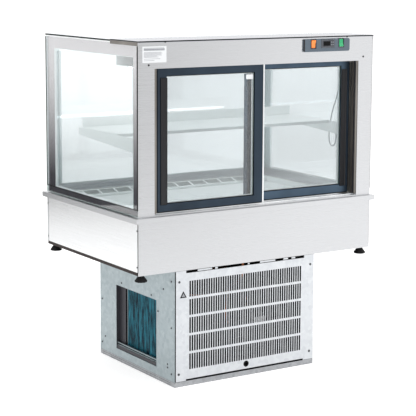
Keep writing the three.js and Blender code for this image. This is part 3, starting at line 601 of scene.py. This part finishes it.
# %% Stainless body
for node in ["collar_panel_left", "collar_panel_right"]:
    refine(node, STEEL_Y)
for node in ["collar_panel_rear", "collar_panel_front", "drop_in_flange", "rear_frame"]:
    refine(node, STEEL_X)
for node in ["header_tray", "deck_plate_left", "deck_plate_right", "front_air_grille", "well_liner"]:
    refine(node, STEEL_INSIDE, 0.3 * MM)
for node in ["shelf_plate", "shelf_bracket_left", "shelf_bracket_right"]:
    refine(node, STEEL_INSIDE, 0.4 * MM)
refine("header_cover", STEEL_TOP)
# The base tray's lip takes the near-black steel: painted shade.
refine("collar_base_tray", STEEL_SHADED_UNDERSIDE, 0.4 * MM)
refine("bottom_track", SILL, 0.3 * MM)
refine("top_track", SILL, 0.3 * MM)
refine("jamb_left", BRONZE, 0.25 * MM)
refine("jamb_right", BRONZE, 0.25 * MM)

print("folded sheet finished")

# %% [markdown]
# ## Screws, plates and seals of the body
# Screws are zinc plated on the collar and blackened on the frame. The rating plate is blank but for
# plain rules. Thin black seals close the corners and the edges of the top glass, and draw the fine
# dark lines that part one sheet from the next. The black strip along the header's top edges and the
# bronze-toned strip on each side lip of the header are painted shade. `both_sides` makes the left and
# right one of a pair.

# %% Trim of the body
for ending, sign in (("", -1), ("_right", 1)):
    places = [(sign * 551.2, y, z) for y in (-372, 372) for z in (489, 628)]
    piece("collar_side_screws" + ending, heads(places, "x", 3.0, sign * 1.2), ZINC_SCREW)
piece("rear_frame_screws", heads([(-504, -380, 1245), (503, -380, 1247)], "y", 4.0, -1.6), BLACK_SCREW)
piece("header_screws", heads([(-434, -381.8, 1329.5), (417, -381.8, 1329.5)], "y", 3.4, -1.4),
      BLACK_SCREW)

RULES = [(1308, -438, 0.8), (1303, -436, 2.6), (1299, -436, 0.8), (1292, -450, 0.7), (1288.5, -446, 0.7),
         (1285, -452, 0.7), (1281.5, -448, 0.7), (1278, -470, 0.7), (1274.5, -462, 0.7),
         (1268, -455, 0.7), (1262, -480, 0.7)]  # height, right end, half thickness
piece("rating_plate_blank", bars((-531, -428, -380.4, -380.05, 1254, 1314)), LABEL)
rules = [(-525, end, -380.6, -380.42, height - half, height + half) for height, end, half in RULES]
piece("rating_plate_rules", bars(*rules), LABEL_RULE)

SEALS = {
    # A black strip along the header's top edges: painted shade at the edge.
    "header_edge_shade_strip": [(-551.6, 551.6, -382.9, -381.9, 1329.6, 1333.9),
                         *both_sides(551.9, 552.8, -381.8, -173, 1330.2, 1333.8)],
    "collar_corner_seam": both_sides(550.05, 550.9, -379.8, -375.6, 469, 655.5),
    "rear_corner_seal": both_sides(550.1, 551.3, -379.9, -373, 704.5, 1315.5)
    + both_sides(550.1, 551.3, 375, 379.5, 704.5, 1320),
    "top_glass_seal": both_sides(550.1, 551, -172, 380, 1326.4, 1331.8),
}
for name, spans in SEALS.items():
    piece(name, bars(*spans), BLACK_SEAL)
piece("top_glass_bead", bars(*both_sides(550.1, 550.7, -172, 379, 1321.5, 1325.6)), WHITE_BEAD)
piece("side_glass_foot_seal", bars(*both_sides(550.1, 551.5, -377, 378, 704.2, 706.8)), BLACK_SEAL)
# A bronze-toned strip over each side lip of the header darkens it: painted shade.
piece("header_side_lip_shade", bars(*both_sides(551.85, 552.7, -381, -173.5, 1316.6, 1329.8)), BRONZE)
rivets = [(-550.2, y, 461.5) for y in (-337, -105, 123, 356)]
piece("base_tray_rivets", heads(rivets, "x", 2.4, -1.0), ZINC_SCREW)
print("trim of the body finished")

# %% [markdown]
# ## Glass showcase
# The sides and the front are double glazed. A dark ceramic border is fired on the inner face of each
# outer pane, and hides the spacer that holds the panes apart. The spacer's bright edge shows for
# 2 mm beyond the print. Each pane gets its own polished edge.


# %% Panes
def pane(name, node, axis, low, high, glass=GLASS, body="root"):
    """A pane of glass with a second material on its narrow edges."""
    made = piece(name, blocks(np.column_stack([low, high]).ravel()), glass, body)
    narrow = np.abs(per_face(made.data, "normal")[:, "xyz".index(axis)]) < 0.5
    second_material(made, GLASS_EDGE, narrow)
    round_edges(made, 0.35 * MM)
    made.modifiers[0].material = 1
    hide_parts(node)
    return made


PANES = {"left_outer_pane": "x", "right_outer_pane": "x", "front_outer_pane": "y", "left_inner_pane": "x",
         "right_inner_pane": "x", "front_inner_pane": "y", "top_glass": "z"}
for node, axis in PANES.items():
    pane(node + "_finished", node, axis, *corners(node))

REAR_BAND, FAR_BAND, FOOT_BAND, HEAD_BAND = 43, 60, 26, 51  # mm of print along each edge
low, high = (side / MM for side in corners("left_outer_pane"))
side_outer = (low[1] + 0.5, high[1] - 0.5, low[2] + 0.5, high[2] - 0.5)
side_clear = (low[1] + REAR_BAND, high[1] - FAR_BAND, low[2] + FOOT_BAND, high[2] - HEAD_BAND)
seen = np.array(side_clear) + (2, -2, 2, -2)
hidden = seen + (-9, 9, -9, 9)
for name, sign in (("left", -1), ("right", 1)):
    piece(f"{name}_print", frame_bar("x", side_outer, side_clear, sign * 543.9, sign * 543.7),
          CERAMIC_PRINT)
    piece(f"{name}_print_backing", frame_bar("x", side_outer, side_clear, sign * 543.6, sign * 543.4),
          PRINT_BACKING)
    piece(f"{name}_spacer", frame_bar("x", hidden, seen, sign * 543.3, sign * 534.1), SPACER)
low, high = (side / MM for side in corners("front_outer_pane"))
front_outer = (low[2] + 0.5, high[2] - 0.5, low[0] + 0.5, high[0] - 0.5)
front_clear = (low[2] + FOOT_BAND, high[2] - HEAD_BAND, low[0] + FAR_BAND, high[0] - FAR_BAND)
piece("front_print", frame_bar("y", front_outer, front_clear, 373.9, 373.7), CERAMIC_PRINT)
seen = np.array(front_clear) + (2, -2, 2, -2)
piece("front_print_backing", frame_bar("y", front_outer, front_clear, 373.6, 373.4), PRINT_BACKING)
piece("front_spacer", frame_bar("y", seen + (-9, 9, -9, 9), seen, 373.3, 364.1), SPACER)
print("glass showcase finished")

# %% [markdown]
# ## Sliding doors
# Each door holds two 4 mm panes with a spacer between them. A black seal runs round the glass. The
# outer door carries a bright cover strip that laps over the inner door where they meet.

# %% Doors
# The right door's frame takes the lighter copy of the slate: painted light.
for door, metal in (("left_door", SLATE), ("right_door", SLATE_LIT)):
    refine(door + "_frame", metal, 0.6 * MM)
    refine(door + "_grip", BLACK_ABS, 1.4 * MM)
    for roller in ("a", "b"):
        refine(f"{door}_roller_{roller}", ACETAL, 0.5 * MM)
    low, high = corners(door + "_glass")
    pane(door + "_outer_glass", door + "_glass", "y", low, high - (0, 10 * MM, 0), DOOR_GLASS, body=door)
    pane(door + "_inner_glass", door + "_glass", "y", low + (0, 10 * MM, 0), high, DOOR_GLASS, body=door)
    edge = np.array((low[2], high[2], low[0], high[0])) + (0.2 * MM, -0.2 * MM, 0.2 * MM, -0.2 * MM)
    spacing = ring("y", edge, edge + np.array((5, -5, 5, -5)) * MM, low[1] + 4.1 * MM, high[1] - 4.1 * MM)
    piece(door + "_spacer", spacing, SPACER, door)
    seal = ring("y", edge, edge + np.array((2.2, -2.2, 2.2, -2.2)) * MM, low[1] - 1.2 * MM, low[1] - 0.1 * MM)
    piece(door + "_glass_seal", seal, BLACK_SEAL, door)

STRIP_FOOT, STRIP_HEAD = 690, 1235  # mm, the height that the upright strips cover
piece("left_door_cover_strip", bars((14.6, 23, -372, -353, STRIP_FOOT, STRIP_HEAD)), SILL,
      "left_door", 0.4 * MM)
STRIPS = (("left_door", "cover_gasket", (13.1, 14.5, -374.5, -351.5, STRIP_FOOT, STRIP_HEAD)),
          ("left_door", "edge_seal", (-466.4, -463.1, -373.5, -352.5, STRIP_FOOT, STRIP_HEAD)),
          ("right_door", "edge_seal", (463.1, 466.4, -340, -318, STRIP_FOOT, STRIP_HEAD)),
          ("left_door", "foot_seal", (-462, 12, -375.8, -375.1, 688.5, 692)),
          ("right_door", "foot_seal", (-36, 462, -341.8, -341.1, 688.5, 692)))
for door, ending, span in STRIPS:
    piece(f"{door}_{ending}", bars(span), BLACK_RUBBER, door)
jamb_pile = bars((-469.1, -467.2, -351, -345, 688, 1231), (467.2, 469.1, -372, -366, 688, 1231))
piece("jamb_pile", jamb_pile, PILE)
piece("left_door_sticker_blank", bars((-64, -31, -370.4, -370.1, 1176, 1194)), LABEL, "left_door")
print("doors finished")

# %% [markdown]
# ## Controls
# A slate fascia clips under the header. It carries a light switch, a thermostat and a power switch,
# whose clear caps have a faint painted glow. Each rocker sits in a black bezel.

# %% Controls
refine("control_fascia", SLATE_ABS, 1.0 * MM)
refine("controller_display", DISPLAY_ABS, 0.6 * MM)
refine("light_switch_rocker", ORANGE_CAP, 0.7 * MM)
refine("power_switch_rocker", GREEN_CAP, 0.7 * MM)
refine("lighting_lead", GREY_LEAD, 0.2 * MM)
refine("header_led_bar", DIFFUSER, 0.6 * MM)
refine("shelf_led_bar", DIFFUSER, 0.6 * MM)
for name in ("light_switch", "power_switch"):
    low, high = (side / MM for side in corners(name + "_rocker"))
    hole = np.array((low[2] - 0.4, high[2] + 0.4, low[0] - 0.4, high[0] + 0.4))
    bezel = frame_bar("y", hole + (-2.2, 2.2, -2.2, 2.2), hole, -385.4, -384.05)
    piece(name + "_bezel", bezel, BLACK_ABS, bevel=0.3 * MM)
low, high = (side / MM for side in corners("controller_display"))
face = low[1] - 0.05
window = frame_bar("y", (low[2] + 2, high[2] - 2, low[0] + 2, high[0] - 2),
                   (low[2] + 3, high[2] - 3, low[0] + 3, high[0] - 3), face - 0.5, face)
piece("display_bezel_line", window, KEY_ABS)
piece("display_window", bars((low[0] + 12, high[0] - 22, face - 0.4, face, low[2] + 8, high[2] - 8)),
      BLACK_SEAL, bevel=0.2 * MM)
keys = [(x, x + 5.5, face - 0.5, face, z, z + 5) for x in (high[0] - 18, high[0] - 10) for z in (1297, 1307)]
piece("display_keys", bars(*keys), KEY_ABS, bevel=0.2 * MM)
piece("fascia_left_end", bars((198.5, 205.5, -384.9, -384.05, 1275, 1322)), BLACK_ABS,
      bevel=0.3 * MM)
print("controls finished")

# %% [markdown]
# ## Condensing box
# Zinc-coated sheet, screwed together at the corners. The vented panel is the CAD sheet with its
# punched walls moved a little apart, which keeps the slots' count, pitch and height. Their cut edges
# get a near-black material of their own: partly the dull tone of a cut edge, partly painted shade
# inside the slots.


# %% Vented panel
SLOTS = {"first": -320.0, "pitch": 10.9, "columns": 49, "foot": 64.6, "top": 413.0, "width": 5.6,
         "wider": 7.0}  # mm: width is the CAD model's, wider is the finished one


def widen_slots(mesh, first, pitch, columns, foot, top, width, wider):
    """Moves the long walls of upright slots apart: a wall at centre +- width / 2 goes to centre +-
    wider / 2. Slot centres are first + pitch * column."""
    places = np.zeros(3 * len(mesh.vertices))
    mesh.vertices.foreach_get("co", places)
    places = places.reshape(-1, 3) / MM
    x, z = places[:, 0], places[:, 2]
    centre = first + pitch * np.clip(np.round((x - first) / pitch), 0, columns - 1)
    away = x - centre
    wall = (np.abs(np.abs(away) - width / 2) < 0.05) & (z > foot - 0.1) & (z < top + 0.1)
    places[wall, 0] = centre[wall] + np.sign(away[wall]) * wider / 2
    mesh.vertices.foreach_set("co", (places * MM).ravel())
    return int(wall.sum())


left_panel = refine("box_left_panel", ZINC_SIDE, 0.4 * MM)
wrap_panel = refine("box_wrap_panel", ZINC_SIDE, 0.4 * MM)
grille = refine("box_grille_panel", ZINC_REAR, 0.2 * MM)
print("slot corners moved", widen_slots(grille.data, **SLOTS))
# The slot walls take the near-black edge, which is partly painted shade.
second_material(grille, CUT_EDGE_AND_SHADE, np.abs(per_face(grille.data, "normal")[:, 1]) < 0.5)

# %% [markdown]
# ## Parts in and under the box
# The fan, its shroud and the compressor are black. The inner faces of the sheet are drawn near black:
# painted shade, which keeps the view through the slots as dark as it is behind a full set of parts.


# %% Parts in and under the box
base_tray = refine("box_base_tray", ZINC_TRAY, 0.5 * MM)
refine("fan_shroud", BLACK_ENAMEL, 0.6 * MM)
refine("compressor", BLACK_ENAMEL, 1.5 * MM)
refine("suction_pipe", COPPER, 0.2 * MM)
refine("condenser_fan", BLACK_ABS, 0.3 * MM)
refine("evaporator_fan", BLACK_ABS, 0.3 * MM)
refine("well_insulation", FOAM, 1.0 * MM)
for node in ["foot_rear_left", "foot_rear_right", "foot_front_left", "foot_front_right"]:
    refine(node, BLACK_RUBBER, 0.8 * MM)


BOX_MIDDLE = (-0.06, -0.08, 0.23)
# Painted shade on every face of the box's sheets that looks into the box.
INSIDE_SHADE = moulded("painted shade, inner face of sheet", "#151619", 0.7, 200.0, 0.05)
for sheet in (wrap_panel, left_panel, base_tray):
    towards = np.array(BOX_MIDDLE) - per_face(sheet.data, "center")
    second_material(sheet, INSIDE_SHADE, np.sum(per_face(sheet.data, "normal") * towards, axis=1) > 0)
print("box sheets finished")

# %% [markdown]
# ## Finned coils
# Behind the intake is a coil of thin plates, epoxy coated blue, on copper tubes. Dust and stretched
# reflections break the blue up: both are painted into its tone, which follows a noise that is long
# along the plates.


# %% Finned coils
FINS = moulded("blue epoxy-coated fin stock", "#1F6F88", 0.35, 200.0, 0.02, Coat_Weight=0.3)
tree = FINS.node_tree
# Dust and painted reflections in one noise, as dark and bright streaks along the plates.
dust_and_reflections = noise(tree, (1.0, 85.0, 10.0), 5.0, 0.7)
vary(tree, tree.nodes["Principled BSDF"], dust_and_reflections, "Base Color", "#0A2C3B", "#4CB4CC", 0.4, 0.68)
BARE_FINS = satin("bare aluminium fin stock", "#C9CDCF", "#AEB3B6", 0.35, 0.9)


def fin_pack(name, cad, pitch, metal, rows):
    """Plates square to Y every pitch, on copper tubes joined in pairs by U bends at the far end."""
    low, high = (side / MM for side in corners(cad))
    place = np.arange(low[1] + 12, high[1] - 12, pitch)
    side = np.ones(len(place))
    plates = np.column_stack([side * (low[0] + 1), side * (high[0] - 1), place, place + 0.35,
                              side * (low[2] + 1), side * (high[2] - 1)])
    made = piece(name + "_fins", bars(*plates), metal)
    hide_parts(cad)
    ends = bars((low[0], high[0], low[1] + 9, low[1] + 10.5, low[2], high[2]),
                (low[0], high[0], high[1] - 10.5, high[1] - 9, low[2], high[2]))
    piece(name + "_end_plates", ends, BARE_FINS)
    heights = np.linspace(low[2] + 16, high[2] - 16, rows)
    turn = np.linspace(0, np.pi, 9)
    pipes = []
    for x in (low[0] + 0.3 * (high[0] - low[0]), low[0] + 0.7 * (high[0] - low[0])):
        for lower, upper in zip(heights[::2], heights[1::2]):
            reach = min((upper - lower) / 2, 8)
            far = np.column_stack([np.full(9, x), high[1] - 9 + reach * np.sin(turn),
                                   (lower + upper) / 2 - (upper - lower) / 2 * np.cos(turn)])
            loop = np.vstack([[(x, low[1] + 9, lower)], far, [(x, low[1] + 9, upper)]])
            pipes.append(sweep(circle(4.6, 10) * MM, loop * MM, up=(1, 0, 0)))
    piece(name + "_tubes", together(*pipes), COPPER)


fin_pack("condenser", "condenser_coil", 2.6, FINS, 14)
fin_pack("evaporator", "evaporator_coil", 4.0, BARE_FINS, 4)

print("coils finished")

# %% [markdown]
# ## Screws and trim of the box
# Rails and baffles frame the intake, screws hold the sheets, and small tabs fold over the roof. The
# warning plate is a blank triangle, and a rubber grommet lines the cable hole.

# %% Trim of the box
# A black strip fills the corner gap between the side and the vented panel: painted shade.
piece("box_corner_gap_shade", bars((-389.4, -384.3, -377.4, -376.3, 22, 454)), BLACK_SEAL)
rails = bars((-386, -374, -240.7, 79.7, 67, 69), (-386, -374, -240.7, 79.7, 76, 79),
             (-375.5, -374, -240.7, 79.7, 67, 79))
piece("intake_rail", rails, ZINC_SIDE)
baffle = bars((-372.5, -371, 32, 88, 45, 330), (-389, -371.2, 80.2, 81.2, 53, 317))
piece("intake_baffle", baffle, BAFFLE_AND_SHADE)
# A dark strip below the intake rail: painted shade.
piece("intake_sill_shade", bars((-388, -387, -240.7, 79.7, 53, 66)), BAFFLE_AND_SHADE)
# Two dark lines along the tray's side lip: painted shade in its creases.
lip = bars((-390.45, -390.05, -355, 195, 12.5, 14), (-390.45, -390.05, -355, 195, 5, 6))
piece("tray_side_crease_shade", lip, ZINC_SCREW)
left_screws = [(36, 333), (-202, 331), (-295, 373), (-354, 413), (200, 236), (-254, 277), (-354, 231),
               (175, 81), (202, 52), (-326, 82), (-326, 69), (-355, 49)]
left_screws = [(-390.1, y, z) for y, z in left_screws]
piece("box_side_screws", heads(left_screws, "x", 4.0, -1.6), ZINC_SCREW)
rear_screws = [(-369, -378.1, 413), (252, -378.1, 415), (252, -378.1, 54), (-371, -378.1, 50)]
piece("box_rear_screws", heads(rear_screws, "y", 5.0, -2.0), ZINC_SCREW)
for name, radius, depth, finish in (("rim", 17.5, 0.4, BLACK_SEAL), ("blank", 9.5, 0.7, LABEL_RULE)):
    outline = np.array([(0, 0), (radius, 0), (radius, -depth), (0, -depth)]) * MM
    plate = lathe(outline, np.array([(-351, -378.1, 358.5)]) * MM, "y", 3)
    piece("warning_plate_" + name, plate, finish)
tab_places = ((-285, 66), (-205, 12), (-52, 8), (6, 74), (120, 22), (160, 18))
tabs = [(x, x + wide, -376, -374.5, 447, 453.5) for x, wide in tab_places]
piece("box_roof_tabs", bars(*tabs), ZINC_REAR)
grommet = [(12.4, 1.6), (12.4, -0.4), (9.5, -1.6), (7.5, -0.4), (7.5, 1.6)]
grommet = lathe(np.array(grommet) * MM, np.array([(-58, -378.2, 47)]) * MM, "y", 28)
piece("cable_grommet", grommet, BLACK_RUBBER)

print("trim of the box finished")

# %% [markdown]
# ## Receiver, wiring and copper lines
# A few parts that any such unit has: a liquid receiver, a terminal box, a start relay, leads between
# them, and the copper lines with a filter drier. They show only through the slots.

# %% Pipes and wiring
receiver = [(0, 40), (14, 42), (24, 50), (27, 62), (27, 178), (24, 190), (14, 198), (0, 200)]
receiver = lathe(np.array(receiver) * MM, np.array([(-110, 70, 0)]) * MM, "z", 32)
piece("liquid_receiver", receiver, BLACK_ENAMEL)
piece("terminal_box", bars((205, 258, 40, 150, 210, 300)), BLACK_ABS, bevel=2 * MM)
piece("start_relay", bars((112, 160, -215, -201, 90, 140)), BLACK_ABS, bevel=1.5 * MM)
wires = []
for start, via, end in (((206, 70, 250), (150, -40, 330), (60, -150, 250)),
                        ((206, 90, 240), (120, 0, 300), (136, -206, 140)),
                        ((206, 110, 270), (60, 60, 380), (-150, -80, 330)),
                        ((240, 60, 212), (200, -120, 150), (150, -208, 110))):
    wires.append(sweep(circle(3.4, 10) * MM, curve_through(np.array([start, via, end]) * MM, 16)))
piece("unit_wiring", together(*wires), BLACK_RUBBER)
liquid_line = [(-110, 70, 197), (-110, 70, 260), (-40, 60, 320), (120, 90, 330), (180, 150, 380),
               (180, 170, 452)]
discharge = [(130, -95, 196), (130, -95, 250), (60, -160, 290), (-120, -200, 300), (-250, -230, 320),
             (-300, -240, 330)]
lines = [sweep(circle(3.2, 12) * MM, curve_through(np.array(p) * MM, 12), up=(0.3, 1, 0.1))
         for p in (liquid_line, discharge)]
piece("copper_lines", together(*lines), COPPER)
piece("filter_drier", lathe(np.array([(0, 0), (9, 4), (13, 14), (13, 76), (9, 86), (0, 90)]) * MM,
                            np.array([(60, 78, 327)]) * MM, "x", 24), COPPER)
piece("compressor_label_blank", bars((100, 160, -200.5, -199.2, 150, 176)), LABEL)
print("box finished")

# %% [markdown]
# ## Room and light
# The case stands on a pale sweep: a floor that curves up into a backdrop, far enough behind to stay
# even. Two soft boxes and a larger overhead one light it. Two graded panels stand where the glass and
# the service side mirror them. The camera doesn't see the panels themselves.

# %% Room and light
world = bpy.data.worlds.new("room")
world.use_nodes = True
world.node_tree.nodes["Background"].inputs["Color"].default_value = (1, 1, 1, 1)
world.node_tree.nodes["Background"].inputs["Strength"].default_value = 0.75
bpy.context.scene.world = world

FLOOR, _ = material("matt white floor, lit from below", "#D8D8D8", 0.8, 0.0, Specular_IOR_Level=0.0,
                    Emission_Color=colour("#FFFFFF"), Emission_Strength=0.62)
bend = np.linspace(0, np.pi / 2, 25)
run = np.concatenate([[-40.0], 9 + 4 * np.sin(bend), [13.0]])
rise = np.concatenate([[0.0], 4 - 4 * np.cos(bend), [14.0]])
across = np.array([-45.0, 45.0])
side_vector, back_vector = np.array([level.x, level.y, 0]), np.array([ahead.x, ahead.y, 0])
points = (across[:, None, None] * side_vector + run[None, :, None] * back_vector
          + rise[None, :, None] * (0, 0, 1))
index = np.arange(len(run) - 1)
quads = np.column_stack([index, index + 1, index + 1 + len(run), index + len(run)])
sweep_mesh = bpy.data.meshes.new("sweep")
sweep_mesh.from_pydata(points.reshape(-1, 3).tolist(), [], quads.tolist())
sweep_mesh.polygons.foreach_set("use_smooth", np.ones(len(sweep_mesh.polygons), bool))
sweep_mesh.materials.append(FLOOR)
new_object("sweep", sweep_mesh)


def soft_box(name, place, target, size, power):
    """A square light at a place, turned to face a target."""
    lamp = bpy.data.lights.new(name, "AREA")
    lamp.shape = "RECTANGLE"
    lamp.size = lamp.size_y = size
    lamp.energy = power
    aim = (Vector(target) - Vector(place)).to_track_quat("-Z", "Y").to_matrix().to_4x4()
    new_object(name, lamp).matrix_world = Matrix.Translation(place) @ aim


def graded_panel(name, middle, half_width, foot, top, axis, start, stop, low, high):
    """An upright glowing panel. Its light runs from low to high between two places along an axis."""
    glow_material = bpy.data.materials.new(name)
    glow_material.use_nodes = True
    tree = glow_material.node_tree
    tree.nodes.clear()
    place = add(tree, "ShaderNodeTexCoord").outputs["Object"]
    along = add(tree, "ShaderNodeSeparateXYZ", {"Vector": place}).outputs[axis]
    inputs = {"Value": along, "From Min": start, "From Max": stop, "To Min": low, "To Max": high}
    grade = add(tree, "ShaderNodeMapRange", inputs, interpolation_type="SMOOTHSTEP")
    glow = add(tree, "ShaderNodeEmission", {"Strength": grade.outputs["Result"]})
    add(tree, "ShaderNodeOutputMaterial", {"Surface": glow.outputs[0]})
    sides = np.array(middle) + np.outer([-1, 1], half_width)
    points = [(*side, height) for side, height in zip(sides[[0, 1, 1, 0]].tolist(), (foot, foot, top, top))]
    mesh = bpy.data.meshes.new(name)
    mesh.from_pydata(points, [], [(0, 1, 2, 3)])
    mesh.materials.append(glow_material)
    made = new_object(name, mesh)
    made.visible_camera = False  # seen only in reflections, so it never stands in front of the case
    made.visible_shadow = False


# One stands beyond the left end, dark at its foot and bright above: the side glass mirrors it. The
# other stands behind the viewer's right hand and shades the service side from left to right.
graded_panel("side_panel", (-2.3, 2.6), (1.43, 0.92), 0.14, 2.2, "Z", 0.24, 1.0, 0.0, 1.35)
graded_panel("service_panel", (1.6, -3.5), (2.2, 0.0), 0.0, 2.3, "X", 0.9, 2.7, 0.74, 1.34)
soft_box("overhead", (0.3, 0.2, 5.0), (0, 0, 0), 5.0, 90)
soft_box("camera left", (-5.5, -3.0, 2.6), (0, 0, 0.8), 3.0, 40)
soft_box("camera right", (3.5, -5.0, 2.6), (0, 0, 0.8), 3.0, 40)
bpy.context.scene.view_settings.view_transform = "Standard"
bpy.context.scene.cycles.transparent_max_bounces = 32
print("room ready")
